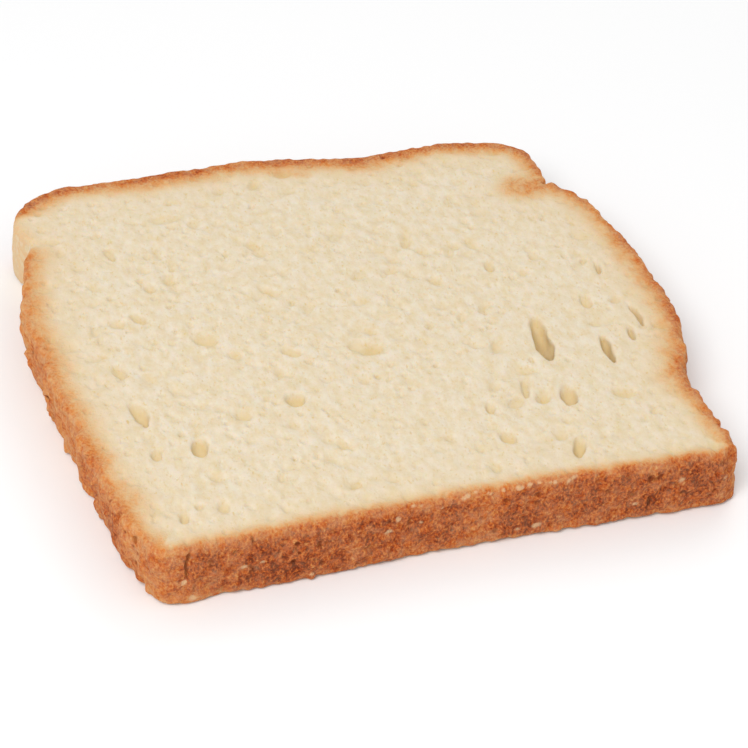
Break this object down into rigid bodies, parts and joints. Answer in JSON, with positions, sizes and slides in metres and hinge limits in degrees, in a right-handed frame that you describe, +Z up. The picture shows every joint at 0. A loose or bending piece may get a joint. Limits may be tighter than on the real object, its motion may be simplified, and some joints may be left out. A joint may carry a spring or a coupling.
{
  "type": "slice of white tin loaf",
  "caption": "Slice of white sandwich bread lying flat: straight base crust, bulging sides, and a low domed top crust that overhangs as a lobe above a notch at each side.",
  "frame": {"origin": "centre of the bounding box's lower face, on the cut face that the slice lies on", "axes": "+Z up through the slice's thickness, +X along the straight base crust, +Y from the base crust to the domed top crust"},
  "size_m": [0.1214, 0.1136, 0.013],
  "materials": {
    "bread": "matte porous cream crumb inside a thin golden-brown baked crust"
  },
  "bodies": {
    "root": {"bread_slice": "bread"}
  },
  "joints": []
}
